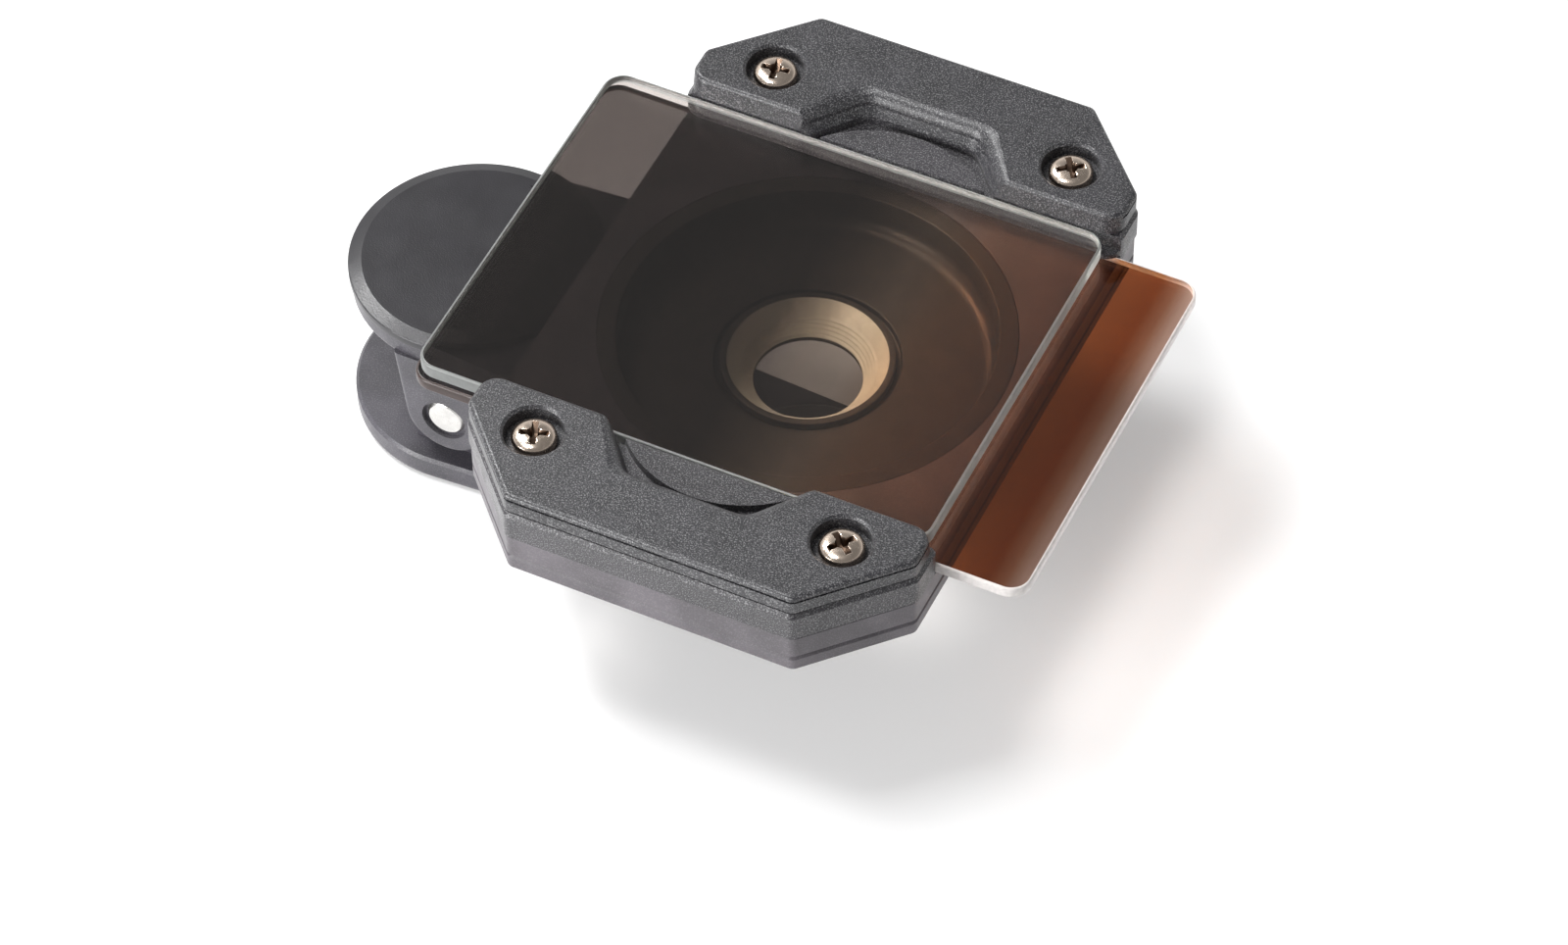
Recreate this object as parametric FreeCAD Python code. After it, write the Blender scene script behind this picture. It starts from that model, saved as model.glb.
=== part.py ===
"""Clip-on filter holder for a phone lens, with its two sliding filters.

Millimetres, +Z up. The origin is on the lens axis, in the seat face of the rubber ring that
rests round the phone's lens. X runs along the filter slots, and the clip's hinge is at -X.
"""
import FreeCAD, Part
import math
import os

V = FreeCAD.Vector
X_AXIS = V(1, 0, 0)
Y_AXIS = V(0, 1, 0)
Z_AXIS = V(0, 0, 1)
ORIGIN = V(0, 0, 0)

# Filters
filter_width = 40.0
filter_corner = 2.0
filter_bevel = 0.25
polarizer_length = 50.0
polarizer_thickness = 1.5
polarizer_shift = -4.4
graduated_length = 60.0
graduated_thickness = 1.2
graduated_shift = 0.0

# Slots
slot_gap = 0.1
side_gap = 0.2
lip_overlap = 0.3
tongue_overlap = 1.0
tongue_thickness = 0.5

# Turning frame: its outline in plan, its layers and its screws
frame_end_wall = 4.5
rail_width = 12.1
diagonal_run_x = 7.9
diagonal_run_y = 8.3
rail_inner_corner = 1.8
rail_outer_corner = 1.0
rail_proud = 0.2
lower_plate_thickness = 1.6
upper_plate_thickness = 2.7
slot_step = 0.5
cap_thickness = 2.3
cap_draft = 0.5
cap_edge_round = 0.45
cap_groove_width = 0.25
cap_groove_depth = 0.2
notch_depth = 4.9
notch_side_run = 4.2
notch_round = 2.2
notch_slope = 0.35
notch_rim_round = 1.3
notch_rim_sweep = 80.0
notch_rim_sections = 6
notch_pocket_web = 2.27
land_inset_x = 1.0
land_inset_y = 0.8
land_recess_depth = 0.9
foot_bevel = 0.2
plate_joint_bevel = 0.25
rail_joint_bevel = 0.15
cap_joint_bevel = 0.35
screw_end_distance = 6.83
screw_width_share = 0.36
screw_head_radius = 2.05
screw_head_height = 1.2
screw_dome = 0.45
screw_radius = 1.0
screw_hole_gap = 0.1
screw_bottom_cover = 0.5
cross_length = 2.3
cross_width = 0.6
cross_depth = 0.6
pocket_gap = 0.7
pocket_depth = 1.4
pocket_bevel = 0.25

# Cup that turns on the lens insert
cup_flange_inset = 1.2
cup_flange_width = 1.8
cup_flange_thickness = 0.9
cup_wall = 0.8
cup_edge_bevel = 0.4
cup_fit = 0.02
running_gap = 0.05
sweep_gap = 0.3

# Lens insert
aperture_radius = 5.0
insert_thread_depth = 0.35
insert_throat_step = 0.4
insert_wall = 1.6
insert_shoulder = 0.6
insert_ledge = 0.75
insert_rim = 0.6
insert_flange_thickness = 0.8
insert_rise = 0.2
insert_lip = 0.4
insert_throat_height = 1.1
insert_recess_gap = 0.55

# Washer and rubber ring under the frame
washer_thickness = 0.15
washer_inner_gap = 1.3
washer_outer_inset = 1.0
ring_pad_standout = 1.5
ring_pad_sunk = 0.5
ring_pad_inner_radius = 6.9
ring_pad_width = 4.6
ring_pad_round = 0.5

# Upper arm with the thumb disc and the ears
clip_half_width = 11.85
thumb_gap = 0.2
arm_thickness = 1.9
arm_hub_margin = 2.5
arm_end_inset = 0.25
arm_edge_round = 0.5
disc_thickness = 1.4
disc_bevel_run = 1.25
disc_bevel_drop = 0.4
disc_reveal = 0.2
disc_spigot_radius = 5.0
disc_spigot_depth = 0.8
ear_thickness = 2.2
ear_wall = 2.1
ear_foot_half_length = 4.9
ear_root = 0.5
ear_edge_round = 0.5

# Hinge pin and spring
pin_set_in = 2.25
pin_drop = 6.7
pin_radius = 1.9
pin_bevel = 0.25
pin_end_recess = 0.25
pin_rim_gap = 0.35
pin_rim_depth = 0.5
pin_running_gap = 0.05
spring_wire_radius = 0.6
spring_pin_gap = 0.5
spring_turns = 5.5
spring_pitch = 1.6
spring_leg_share = 0.8
spring_seat_gap = 0.1

# Lower lever with the paddle and the jaw pad
jaw_opening = 10.5
jaw_pad_standout = 1.2
jaw_pad_sunk = 0.5
jaw_pad_margin = 1.5
jaw_pad_round = 0.4
lever_thickness = 2.8
paddle_reach = 0.25
jaw_end_radius = 10.0
lever_bottom_round = 1.0
lever_top_bevel = 0.3
lug_wall = 1.7
lug_thickness = 2.2
lug_gap = 0.25
lug_foot_half_length = 4.4

# How far a cutting tool runs past what it cuts, and how near counts as level with a height
cut_overrun = 3.0
level_tolerance = 1e-4

# Sizes in plan that follow from the sizes above
slot_wall_y = filter_width / 2 + side_gap
cap_lip_y = filter_width / 2 - lip_overlap
tongue_y = filter_width / 2 - tongue_overlap
cup_flange_radius = slot_wall_y - cup_flange_inset
well_radius = cup_flange_radius - cup_flange_width
cup_outer_radius = well_radius + cup_wall
frame_half_length = well_radius + frame_end_wall
frame_half_width = slot_wall_y + rail_width
outer_edge_half_length = frame_half_length - diagonal_run_x
end_edge_half_width = frame_half_width - diagonal_run_y
screw_x = frame_half_length - screw_end_distance
screw_y = slot_wall_y + screw_width_share * rail_width
pocket_radius = screw_head_radius + pocket_gap
notch_mouth_half_length = screw_x - pocket_radius - pocket_bevel - notch_pocket_web
notch_floor_half_length = notch_mouth_half_length - notch_side_run
notch_floor_y = cap_lip_y + notch_depth
land_half_length = notch_mouth_half_length - land_inset_x
land_depth = notch_depth - land_inset_y
land_radius = (land_half_length ** 2 + land_depth ** 2) / (2 * land_depth)
insert_thread_radius = aperture_radius + insert_thread_depth
insert_throat_radius = insert_thread_radius + insert_throat_step
insert_barrel_radius = aperture_radius + insert_wall
insert_neck_radius = insert_barrel_radius + insert_shoulder
insert_flange_radius = insert_neck_radius + insert_ledge
insert_mouth_radius = insert_flange_radius - insert_rim
ring_pad_outer_radius = ring_pad_inner_radius + ring_pad_width
arm_hub_radius = ring_pad_outer_radius + arm_hub_margin
washer_inner_radius = insert_neck_radius + washer_inner_gap
washer_outer_radius = arm_hub_radius - washer_outer_inset
arm_end_radius = clip_half_width - arm_end_inset
thumb_x = -(frame_half_length + thumb_gap + clip_half_width)
disc_radius = clip_half_width
disc_flat_radius = disc_radius - disc_bevel_run
pin_x = thumb_x + pin_set_in
ear_face_y = clip_half_width
ear_radius = pin_radius + ear_wall
lug_radius = pin_radius + lug_wall
lug_face_y = ear_face_y - ear_thickness - lug_gap
spring_coil_radius = pin_radius + spring_pin_gap + spring_wire_radius
spring_leg_length = spring_leg_share * clip_half_width
paddle_radius = clip_half_width
paddle_x = thumb_x - paddle_reach
jaw_pad_radius = jaw_end_radius - jaw_pad_margin

# Heights that follow from the sizes above
arm_bottom = ring_pad_standout
arm_top = arm_bottom + arm_thickness
disc_top = arm_top + disc_thickness
cup_bottom = arm_top + washer_thickness + running_gap
frame_bottom = disc_top + sweep_gap
well_floor = frame_bottom
lower_plate_top = frame_bottom + lower_plate_thickness
upper_plate_top = lower_plate_top + upper_plate_thickness
graduated_slot_floor = upper_plate_top - slot_step
graduated_slot_top = graduated_slot_floor + graduated_thickness + 2 * slot_gap
polarizer_slot_floor = graduated_slot_top + tongue_thickness
rail_top = polarizer_slot_floor + polarizer_thickness + 2 * slot_gap
cap_top = rail_top + cap_thickness
insert_top = well_floor + insert_rise
insert_flange_bottom = insert_top - insert_flange_thickness
jaw_pad_top = -jaw_opening
lever_top = jaw_pad_top - jaw_pad_standout
lever_bottom = lever_top - lever_thickness
pin_z = arm_bottom - pin_drop


def rounded_outline(corners, z=0.0):
    """A closed wire through corners (x, y, radius), each corner with a radius as a tangent arc."""
    edges = []
    count = len(corners)
    tangents = []
    for i, (x, y, radius) in enumerate(corners):
        here = V(x, y, z)
        before = (V(*corners[i - 1][:2], z) - here).normalize()
        after = (V(*corners[(i + 1) % count][:2], z) - here).normalize()
        if radius == 0:
            tangents.append((here, None, here))
            continue
        half = before.getAngle(after) / 2
        reach = radius / math.tan(half)
        middle = (before + after).normalize() * (radius / math.sin(half) - radius)
        tangents.append((here + before * reach, here + middle, here + after * reach))
    for i, (start, middle, end) in enumerate(tangents):
        if middle is not None:
            edges.append(Part.Arc(start, middle, end).toShape())
        edges.append(Part.LineSegment(end, tangents[(i + 1) % count][0]).toShape())
    return Part.Wire(edges)


def slab(wire, height):
    """The solid that a flat wire makes when it is raised by height."""
    return Part.Face(wire).extrude(V(0, 0, height))


def cylinder(radius, bottom, top, x=0.0, y=0.0):
    return Part.makeCylinder(radius, top - bottom, V(x, y, bottom))


def turned(profile, x=0.0):
    """A solid turned about the vertical axis at x from a closed (radius, height) profile."""
    points = [V(x + r, 0, z) for r, z in profile]
    face = Part.Face(Part.makePolygon(points + points[:1]))
    return face.revolve(V(x, 0, 0), Z_AXIS, 360)


def tapered_outline(x1, radius1, x2, radius2, z=0.0):
    """The outline that two circles on the X axis and their common tangents make."""
    lean = math.asin((radius2 - radius1) / (x2 - x1))
    sin, cos = math.sin(lean), math.cos(lean)
    low1 = V(x1 - radius1 * sin, -radius1 * cos, z)
    low2 = V(x2 - radius2 * sin, -radius2 * cos, z)
    high2 = V(low2.x, -low2.y, z)
    high1 = V(low1.x, -low1.y, z)
    return Part.Wire([
        Part.LineSegment(low1, low2).toShape(),
        Part.Arc(low2, V(x2 + radius2, 0, z), high2).toShape(),
        Part.LineSegment(high2, high1).toShape(),
        Part.Arc(high1, V(x1 - radius1, 0, z), low1).toShape(),
    ])


def level_edges(shape, z):
    """The edges of shape that lie flat at height z."""
    return [e for e in shape.Edges
            if abs(e.BoundBox.ZMin - z) < level_tolerance and abs(e.BoundBox.ZMax - z) < level_tolerance]


def filter_plate(length, thickness, shift, bottom):
    """A glass plate with rounded corners and ground bevels along its edges."""
    half_length, half_width = length / 2, filter_width / 2
    corners = [(shift + sx * half_length, sy * half_width, filter_corner)
               for sx, sy in ((-1, -1), (1, -1), (1, 1), (-1, 1))]
    plate = slab(rounded_outline(corners, bottom), thickness)
    rims = level_edges(plate, bottom) + level_edges(plate, bottom + thickness)
    return plate.makeChamfer(filter_bevel, rims)


def rail_outline(z, inner_y, grow=0.0):
    """Plan of one rail at +Y: a straight outer edge, two diagonals, short ends, an inner edge."""
    return rounded_outline([
        (-frame_half_length - grow, inner_y, rail_inner_corner),
        (frame_half_length + grow, inner_y, rail_inner_corner),
        (frame_half_length + grow, end_edge_half_width, rail_outer_corner),
        (outer_edge_half_length, frame_half_width + grow, rail_outer_corner),
        (-outer_edge_half_length, frame_half_width + grow, rail_outer_corner),
        (-frame_half_length - grow, end_edge_half_width, rail_outer_corner),
    ], z)


def frame_outline(z):
    """Plan of the plates that carry both rails: the rails' outer edges joined by straight ends."""
    right = [(frame_half_length, -end_edge_half_width), (frame_half_length, end_edge_half_width)]
    rear = [(outer_edge_half_length, frame_half_width), (-outer_edge_half_length, frame_half_width)]
    corners = [(side * x, side * y, rail_outer_corner) for side in (1, -1) for x, y in right + rear]
    return rounded_outline(corners, z)


def screw_places():
    """The four screws' names and centres."""
    return [(f"rail_screw_{row}_{end}", sx * screw_x, sy * screw_y)
            for row, sy in (("front", -1), ("rear", 1)) for end, sx in (("left", -1), ("right", 1))]


def drill_screws(shape, radius, bottom, top):
    for _, x, y in screw_places():
        shape = shape.cut(cylinder(radius, bottom, top, x, y))
    return shape


def layer(wire, bottom, top, bottom_bevel, top_bevel):
    """A plate from a flat wire, with bevelled rims that part it from the layers next to it."""
    plate = slab(wire, top - bottom)
    plate = plate.makeChamfer(bottom_bevel, level_edges(plate, bottom))
    return plate.makeChamfer(top_bevel, level_edges(plate, top))


def cut_slot(shape, bottom, top):
    """Cuts the full width of a filter slot through a layer, from end to end."""
    return shape.cut(Part.makeBox(2 * (frame_half_length + cut_overrun), 2 * slot_wall_y, top - bottom,
                                  V(-frame_half_length - cut_overrun, -slot_wall_y, bottom)))


def lower_plate():
    plate = layer(frame_outline(frame_bottom), frame_bottom, lower_plate_top, foot_bevel, plate_joint_bevel)
    plate = plate.cut(cylinder(cup_outer_radius + cup_fit, frame_bottom, lower_plate_top))
    return drill_screws(plate, screw_radius, frame_bottom + screw_bottom_cover, lower_plate_top)


def upper_plate():
    """The layer with the ring's seat and the floor of the graduated filter's slot."""
    plate = layer(frame_outline(lower_plate_top), lower_plate_top, upper_plate_top,
                  plate_joint_bevel, rail_joint_bevel)
    plate = cut_slot(plate, graduated_slot_floor, upper_plate_top)
    flange_seat = graduated_slot_floor - cup_flange_thickness
    plate = plate.cut(cylinder(cup_outer_radius + cup_fit, lower_plate_top, flange_seat))
    plate = plate.cut(cylinder(cup_flange_radius + cup_fit, flange_seat, graduated_slot_floor))
    return drill_screws(plate, screw_radius + screw_hole_gap, lower_plate_top, upper_plate_top)


def notch_outline(z, lip_y, widen):
    """Plan of the scoop in the cap's inner edge at lip_y, wider and deeper by widen."""
    mouth, floor = notch_mouth_half_length + widen, notch_floor_half_length + widen
    back = cap_lip_y - cut_overrun
    wing = mouth + cut_overrun
    return rounded_outline([
        (-wing, back, 0),
        (wing, back, 0),
        (wing, lip_y, 0),
        (mouth, lip_y, notch_round),
        (floor, notch_floor_y + widen, notch_round),
        (-floor, notch_floor_y + widen, notch_round),
        (-mouth, lip_y, notch_round),
        (-wing, lip_y, 0),
    ], z)


def slot_rail():
    """The rail layer at +Y: both slots' side walls, the tongue that parts the filters, and the
    rounded land in the scoop with the recess behind it."""
    outline = rail_outline(upper_plate_top, tongue_y, rail_proud)
    rail = layer(outline, upper_plate_top, rail_top, rail_joint_bevel, cap_joint_bevel)
    rail = cut_slot(rail, upper_plate_top, graduated_slot_top)
    rail = cut_slot(rail, polarizer_slot_floor, rail_top)
    recess_floor = rail_top - land_recess_depth
    recess = slab(notch_outline(recess_floor, cap_lip_y, 0), land_recess_depth)
    land = cylinder(land_radius, recess_floor, rail_top, 0, cap_lip_y + land_depth - land_radius)
    rail = rail.cut(recess.cut(land))
    return drill_screws(rail, screw_radius + screw_hole_gap, upper_plate_top, rail_top)


def cut_scoop(cap):
    """Cuts the fingertip scoop: a sloped wall whose upper rim rolls over into the cap's top."""
    last = math.radians(notch_rim_sweep)
    wall_top = cap_top - notch_rim_round * math.sin(last)
    sections = []
    for k in range(notch_rim_sections):
        angle = last * k / (notch_rim_sections - 1)
        z = wall_top + notch_rim_round * math.sin(angle)
        widen = notch_slope + notch_rim_round * (1 - math.cos(angle))
        sections.append(notch_outline(z, cap_lip_y, widen))
    cap = cap.cut(Part.makeLoft([notch_outline(rail_top, cap_lip_y, 0), sections[0]], True, True))
    return cap.cut(Part.makeLoft(sections, True, False))


def rail_cap():
    """The moulded cap at +Y, with its scoop, its side groove and two screw pockets."""
    outlines = [rail_outline(rail_top, cap_lip_y), rail_outline(cap_top, cap_lip_y + cap_draft)]
    cap = Part.makeLoft(outlines, True, True)
    cap = cap.makeFillet(cap_edge_round, level_edges(cap, cap_top))
    cap = cap.makeChamfer(cap_joint_bevel, level_edges(cap, rail_top))
    cap = cut_scoop(cap)
    groove_bottom = cap_top - cap_edge_round - cap_groove_width
    around = rail_outline(groove_bottom, cap_lip_y - cut_overrun, cut_overrun)
    inside = rail_outline(groove_bottom, cap_lip_y - 2 * cut_overrun, -cap_groove_depth)
    cap = cap.cut(slab(around, cap_groove_width).cut(slab(inside, cap_groove_width)))
    for x in (-screw_x, screw_x):
        pocket = cylinder(pocket_radius, cap_top - pocket_depth, cap_top, x, screw_y)
        rim = Part.makeCone(pocket_radius, pocket_radius + pocket_bevel, pocket_bevel,
                            V(x, screw_y, cap_top - pocket_bevel))
        cap = cap.cut(pocket.fuse(rim))
    return drill_screws(cap, screw_radius + screw_hole_gap, rail_top, cap_top)


def screw(x, y):
    """A domed screw with a cross recess, its point in the lower plate."""
    seat = cap_top - pocket_depth
    head_top = seat + screw_head_height
    point = frame_bottom + screw_bottom_cover
    head = cylinder(screw_head_radius, seat, head_top, x, y)
    head = head.makeFillet(screw_dome, level_edges(head, head_top))
    for length, width in ((cross_length, cross_width), (cross_width, cross_length)):
        head = head.cut(Part.makeBox(length, width, cross_depth,
                                     V(x - length / 2, y - width / 2, head_top - cross_depth)))
    return head.fuse(cylinder(screw_radius, point, seat, x, y)).removeSplitter()


def rotating_cup():
    """The round cup in the plates: flange, wall, and a floor that turns under the insert's flange."""
    seat = insert_flange_bottom - running_gap
    return turned([
        (insert_neck_radius + running_gap, cup_bottom),
        (cup_outer_radius - cup_edge_bevel, cup_bottom),
        (cup_outer_radius, cup_bottom + cup_edge_bevel),
        (cup_outer_radius, graduated_slot_floor - cup_flange_thickness),
        (cup_flange_radius, graduated_slot_floor - cup_flange_thickness),
        (cup_flange_radius, graduated_slot_floor),
        (well_radius, graduated_slot_floor),
        (well_radius, well_floor),
        (insert_flange_radius + insert_recess_gap, well_floor),
        (insert_flange_radius + insert_recess_gap, seat),
        (insert_neck_radius + running_gap, seat),
    ])


def lens_insert():
    """The turned tube round the lens axis: it holds the cup to the arm and frames the lens."""
    bottom = arm_bottom + ring_pad_sunk
    throat = bottom + insert_throat_height
    return turned([
        (aperture_radius, bottom),
        (insert_barrel_radius, bottom),
        (insert_barrel_radius, arm_top),
        (insert_neck_radius, arm_top),
        (insert_neck_radius, insert_flange_bottom),
        (insert_flange_radius, insert_flange_bottom),
        (insert_flange_radius, insert_top),
        (insert_mouth_radius, insert_top),
        (insert_throat_radius, throat),
        (insert_thread_radius, throat),
        (insert_thread_radius, bottom + insert_lip),
        (aperture_radius, bottom + insert_lip),
    ])


def friction_washer():
    washer = cylinder(washer_outer_radius, arm_top, arm_top + washer_thickness)
    return washer.cut(cylinder(washer_inner_radius, arm_top, arm_top + washer_thickness))


def ring_pad():
    """The rubber ring that rests on the phone round its lens."""
    top = arm_bottom + ring_pad_sunk
    ring = cylinder(ring_pad_outer_radius, 0, top).cut(cylinder(ring_pad_inner_radius, 0, top))
    return ring.makeFillet(ring_pad_round, level_edges(ring, 0))


def ear_profile(y, radius, foot_half_length, foot_z):
    """Side view of an ear or lug at y: a round end about the pin, with sides that run to its foot."""
    pin = V(pin_x, y, pin_z)
    feet = [V(pin_x - foot_half_length, y, foot_z), V(pin_x + foot_half_length, y, foot_z)]
    touches = []
    for foot in feet:
        away = foot - pin
        outward = math.copysign(1, away.x)
        spread = math.acos(radius / away.Length)
        bearing = math.atan2(away.z, away.x)
        points = [pin + V(math.cos(angle), 0, math.sin(angle)) * radius
                  for angle in (bearing - spread, bearing + spread)]
        touches.append(max(points, key=lambda point: outward * point.x))
    round_end = pin - V(0, 0, math.copysign(radius, foot_z - pin_z))
    return Part.Wire([
        Part.LineSegment(feet[1], feet[0]).toShape(),
        Part.LineSegment(feet[0], touches[0]).toShape(),
        Part.Arc(touches[0], round_end, touches[1]).toShape(),
        Part.LineSegment(touches[1], feet[1]).toShape(),
    ])


def upper_ear():
    """The ear at -Y that hangs from the arm and carries the pin's end."""
    ear = Part.Face(ear_profile(-ear_face_y, ear_radius, ear_foot_half_length, arm_bottom + ear_root))
    ear = ear.extrude(V(0, ear_thickness, 0))
    outer = [e for e in ear.Edges
             if abs(e.BoundBox.YMax + ear_face_y) < level_tolerance and e.BoundBox.ZMin < arm_bottom]
    ear = ear.makeFillet(ear_edge_round, outer)
    rim = Part.makeCylinder(pin_radius + pin_rim_gap, pin_rim_depth, V(pin_x, -ear_face_y, pin_z), Y_AXIS)
    return ear.cut(rim)


def upper_arm():
    """The plate from the lens to the thumb end, with a pair of ears for the hinge."""
    arm = slab(tapered_outline(thumb_x, arm_end_radius, 0, arm_hub_radius, arm_bottom), arm_thickness)
    arm = arm.makeFillet(arm_edge_round, level_edges(arm, arm_bottom))
    arm = arm.cut(cylinder(insert_barrel_radius, arm_bottom, arm_top))
    arm = arm.cut(cylinder(ring_pad_outer_radius, arm_bottom, arm_bottom + ring_pad_sunk))
    arm = arm.cut(cylinder(disc_spigot_radius, arm_top - disc_spigot_depth, arm_top, thumb_x))
    ear = upper_ear()
    arm = arm.fuse([ear, ear.mirror(ORIGIN, Y_AXIS)]).removeSplitter()
    return arm.cut(pin_bore(pin_radius))


def thumb_disc():
    """The round cap on the arm's thumb end, seated by a spigot."""
    return turned([
        (0, arm_top - disc_spigot_depth),
        (disc_spigot_radius, arm_top - disc_spigot_depth),
        (disc_spigot_radius, arm_top),
        (disc_radius - disc_reveal, arm_top),
        (disc_radius - disc_reveal, arm_top + disc_reveal),
        (disc_radius, arm_top + disc_reveal),
        (disc_radius, disc_top - disc_bevel_drop),
        (disc_flat_radius, disc_top),
        (0, disc_top),
    ], thumb_x)


def pin_bore(radius):
    half = ear_face_y + cut_overrun
    return Part.makeCylinder(radius, 2 * half, V(pin_x, -half, pin_z), Y_AXIS)


def hinge_pin():
    half = ear_face_y - pin_end_recess
    pin = Part.makeCylinder(pin_radius, 2 * half, V(pin_x, -half, pin_z), Y_AXIS)
    ends = [e for e in pin.Edges if abs(abs(e.CenterOfMass.y) - half) < level_tolerance]
    return pin.makeChamfer(pin_bevel, ends)


def spring_leg(y, side, seat_z):
    """A straight leg from the coil's side to its seat, with a round tip."""
    start = V(pin_x, y, pin_z + side * spring_coil_radius)
    drop = seat_z - start.z
    run = math.sqrt(spring_leg_length ** 2 - drop ** 2)
    leg = V(-run, 0, drop)
    wire = Part.makeCylinder(spring_wire_radius, spring_leg_length, start, leg)
    return wire.fuse([Part.makeSphere(spring_wire_radius, end) for end in (start, start + leg)])


def torsion_spring():
    """The coil round the pin, whose legs press the thumb ends apart."""
    height = spring_turns * spring_pitch
    helix = Part.makeHelix(spring_pitch, height, spring_coil_radius)
    start = helix.Edges[0].valueAt(helix.Edges[0].FirstParameter)
    heading = helix.Edges[0].tangentAt(helix.Edges[0].FirstParameter)
    section = Part.Wire(Part.makeCircle(spring_wire_radius, start, heading))
    coil = helix.makePipeShell([section], True, True)
    coil.rotate(ORIGIN, Z_AXIS, 90)
    coil.rotate(ORIGIN, X_AXIS, -90)
    coil.translate(V(pin_x, -height / 2, pin_z))
    reach = spring_wire_radius + spring_seat_gap
    upper = spring_leg(-height / 2, 1, arm_bottom - reach)
    lower = spring_leg(height / 2, -1, lever_top + reach)
    return coil.fuse([upper, lower])


def lower_lug():
    """The lug at -Y that stands on the lower lever, inside the ear."""
    lug = Part.Face(ear_profile(-lug_face_y, lug_radius, lug_foot_half_length, lever_top - lever_top_bevel))
    return lug.extrude(V(0, lug_thickness, 0))


def lower_lever():
    """The flat lever under the phone: thumb paddle at -X, jaw at the lens axis."""
    lever = slab(tapered_outline(paddle_x, paddle_radius, 0, jaw_end_radius, lever_bottom), lever_thickness)
    lever = lever.makeFillet(lever_bottom_round, level_edges(lever, lever_bottom))
    lever = lever.makeChamfer(lever_top_bevel, level_edges(lever, lever_top))
    lever = lever.cut(cylinder(jaw_pad_radius, lever_top - jaw_pad_sunk, lever_top))
    lug = lower_lug()
    lever = lever.fuse([lug, lug.mirror(ORIGIN, Y_AXIS)]).removeSplitter()
    return lever.cut(pin_bore(pin_radius + pin_running_gap))


def jaw_pad():
    pad = cylinder(jaw_pad_radius, lever_top - jaw_pad_sunk, jaw_pad_top)
    return pad.makeFillet(jaw_pad_round, level_edges(pad, jaw_pad_top))


def nodes():
    """Every piece by its name, in order of assembly."""
    rail, cap = slot_rail(), rail_cap()
    pieces = {
        "lower_lever": lower_lever(),
        "jaw_pad": jaw_pad(),
        "upper_arm": upper_arm(),
        "thumb_disc": thumb_disc(),
        "ring_pad": ring_pad(),
        "hinge_pin": hinge_pin(),
        "torsion_spring": torsion_spring(),
        "friction_washer": friction_washer(),
        "lens_insert": lens_insert(),
        "rotating_cup": rotating_cup(),
        "lower_plate": lower_plate(),
        "upper_plate": upper_plate(),
        "slot_rail_front": rail.mirror(ORIGIN, Y_AXIS),
        "slot_rail_rear": rail,
        "rail_cap_front": cap.mirror(ORIGIN, Y_AXIS),
        "rail_cap_rear": cap,
        "polarizer": filter_plate(polarizer_length, polarizer_thickness, polarizer_shift,
                                  polarizer_slot_floor + slot_gap),
        "graduated_filter": filter_plate(graduated_length, graduated_thickness, graduated_shift,
                                         graduated_slot_floor + slot_gap),
    }
    for name, x, y in screw_places():
        pieces[name] = screw(x, y)
    return pieces


os.makedirs("parts", exist_ok=True)
for name, shape in nodes().items():
    shape.exportStep(f"parts/{name}.step")
    box = shape.BoundBox
    print(f"{name}: {shape.Volume:.1f} mm3, {len(shape.Solids)} solid, valid {shape.isValid()}, "
          f"x {box.XMin:.2f} to {box.XMax:.2f}, y {box.YMin:.2f} to {box.YMax:.2f}, "
          f"z {box.ZMin:.2f} to {box.ZMax:.2f}")
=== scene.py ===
"""Clip-on filter holder for a phone lens, dressed for pictures.

Blender works in metres, and the sizes below are in millimetres unless a name says otherwise.
The origin is on the lens axis, in the seat face of the rubber ring, with +Z away from the phone.
"""
import bmesh
import bpy
import math
from mathutils import Matrix, Vector


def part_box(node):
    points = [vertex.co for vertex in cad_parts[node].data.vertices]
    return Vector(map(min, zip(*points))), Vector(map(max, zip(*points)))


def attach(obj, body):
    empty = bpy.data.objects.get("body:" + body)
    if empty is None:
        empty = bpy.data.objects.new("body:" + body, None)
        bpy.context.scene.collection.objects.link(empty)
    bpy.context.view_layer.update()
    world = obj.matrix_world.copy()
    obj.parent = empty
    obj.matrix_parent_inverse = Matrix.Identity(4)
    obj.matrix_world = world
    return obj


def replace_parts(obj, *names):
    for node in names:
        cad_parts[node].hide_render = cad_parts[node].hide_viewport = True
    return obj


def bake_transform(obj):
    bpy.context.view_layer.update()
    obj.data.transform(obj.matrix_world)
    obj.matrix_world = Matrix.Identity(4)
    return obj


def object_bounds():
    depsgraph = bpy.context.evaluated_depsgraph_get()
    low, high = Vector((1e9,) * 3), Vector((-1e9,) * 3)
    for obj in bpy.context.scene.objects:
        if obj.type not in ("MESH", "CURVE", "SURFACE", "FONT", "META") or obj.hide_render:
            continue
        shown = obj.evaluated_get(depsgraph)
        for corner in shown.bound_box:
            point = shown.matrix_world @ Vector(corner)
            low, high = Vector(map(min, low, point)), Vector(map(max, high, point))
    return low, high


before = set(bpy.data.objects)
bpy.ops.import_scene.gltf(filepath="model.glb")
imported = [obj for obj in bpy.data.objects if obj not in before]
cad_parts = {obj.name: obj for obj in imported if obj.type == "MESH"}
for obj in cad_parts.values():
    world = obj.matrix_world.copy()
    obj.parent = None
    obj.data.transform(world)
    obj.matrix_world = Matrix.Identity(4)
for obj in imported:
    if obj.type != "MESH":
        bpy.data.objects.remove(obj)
cad_low, cad_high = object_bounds()
MM = 0.001


# Lower lever: a flat lever under the phone, with the thumb paddle and the jaw in one piece.
# It is moulded in glass-filled nylon, whose spark-eroded mould leaves a fine grain; its glints are painted
# into the colour as bright spots.
def new_material(name):
    """A new material with its node tree and its shader."""
    material = bpy.data.materials.new(name)
    material.use_nodes = True
    tree = material.node_tree
    return material, tree, tree.nodes["Principled BSDF"]


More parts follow.
